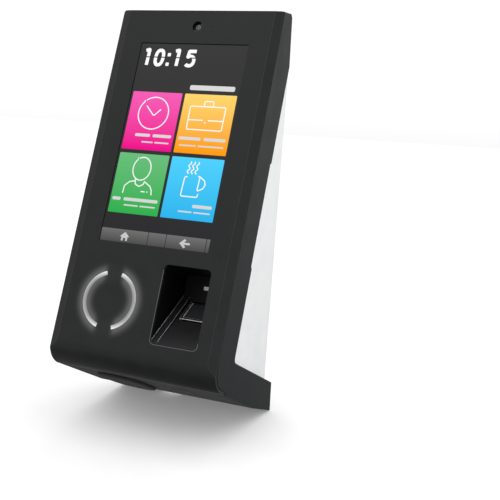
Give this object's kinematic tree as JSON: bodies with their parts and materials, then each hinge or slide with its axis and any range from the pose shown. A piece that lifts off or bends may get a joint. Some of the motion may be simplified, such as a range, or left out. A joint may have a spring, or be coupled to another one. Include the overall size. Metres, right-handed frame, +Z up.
{
  "type": "fingerprint scanner terminal",
  "caption": "Black wall-mounted access terminal with a leaning portrait touch display, a lit badge ring and a finger well, swinging up from a white wedge-shaped wall base.",
  "frame": {"origin": "centre of the four wall holes, on the wall plane", "axes": "+Y into the wall, -Y towards the person using it, +Z up, +X to that person's right"},
  "size_m": [0.1326, 0.109, 0.3064],
  "materials": {
    "case_black": "fine satin texture",
    "case_white": "satin",
    "display_glass": "polished",
    "display_stack": "smooth",
    "diffuser_white": "frosted",
    "steel_sheet": "bright zinc",
    "chrome_lock": "polished",
    "brass_turned": "turned",
    "gold_contact": "plated",
    "board_green": "solder mask",
    "part_black": "moulded",
    "part_grey": "moulded",
    "rubber_black": "matt",
    "connector_green": "moulded",
    "film_amber": "film",
    "cell_blue": "sleeve",
    "button_red": "moulded",
    "sensor_platen": "coated"
  },
  "bodies": {
    "base": {"wall_base": "case_white", "hinge_rod": "steel_sheet", "catch_plate": "steel_sheet", "catch_screw": "steel_sheet", "base_board": "board_green", "base_board_screws": "steel_sheet", "network_jack": "steel_sheet", "power_block": "connector_green", "power_converter": "part_black", "base_capacitors": "part_black", "dock_head": "part_black", "dock_pins": "gold_contact", "battery_holder": "part_black", "backup_battery": "cell_blue", "tamper_switch": "part_grey", "reset_switch": "part_grey", "cable_clamp": "part_black", "clamp_screws": "steel_sheet"},
    "terminal": {"main_shell": "case_black", "front_fascia": "case_black", "fascia_screws": "steel_sheet", "touch_glass": "display_glass", "display_gasket": "part_grey", "lcd_panel": "display_stack", "backlight": "diffuser_white", "lcd_frame": "steel_sheet", "frame_screws": "steel_sheet", "camera_window": "display_glass", "camera_barrel": "part_black", "camera_board": "board_green", "microphone": "steel_sheet", "ring_guide_left": "diffuser_white", "ring_guide_right": "diffuser_white", "ring_lamps": "diffuser_white", "ring_board": "board_green", "ring_board_screws": "steel_sheet", "finger_well": "part_black", "well_lamp": "diffuser_white", "sensor_body": "part_grey", "sensor_glass": "sensor_platen", "sensor_board": "board_green", "main_board": "board_green", "board_standoffs": "brass_turned", "board_screws": "steel_sheet", "processor_shield": "steel_sheet", "buzzer": "part_black", "clock_cell": "steel_sheet", "dock_pads": "board_green", "tamper_post": "part_black", "display_ribbon": "film_amber", "sensor_ribbon": "film_amber", "cable_grommet": "rubber_black", "lock_bush": "brass_turned"},
    "lock": {"lock_barrel": "chrome_lock", "lock_cam": "steel_sheet"},
    "tamper_plunger": {"tamper_plunger": "diffuser_white"},
    "reset_button": {"reset_button": "button_red"}
  },
  "joints": [
    {"name": "terminal_swing", "type": "hinge", "parent": "base", "child": "terminal", "pos_m": [0, -0.0023, 0.1423], "axis": [-1, 0, 0], "range_deg": [0, 35]},
    {"name": "lock_turn", "type": "hinge", "parent": "terminal", "child": "lock", "pos_m": [-0.021, -0.008, -0.154], "axis": [0, 0, -1], "range_deg": [0, 90]},
    {"name": "tamper_press", "type": "slide", "parent": "base", "child": "tamper_plunger", "axis": [0, 1, 0], "range_m": [0, 0.002], "stiffness_N_per_m": 150, "springref_m": -0.001},
    {"name": "reset_press", "type": "slide", "parent": "base", "child": "reset_button", "axis": [0, 1, 0], "range_m": [0, 0.0006], "stiffness_N_per_m": 300, "springref_m": -0.0006}
  ]
}
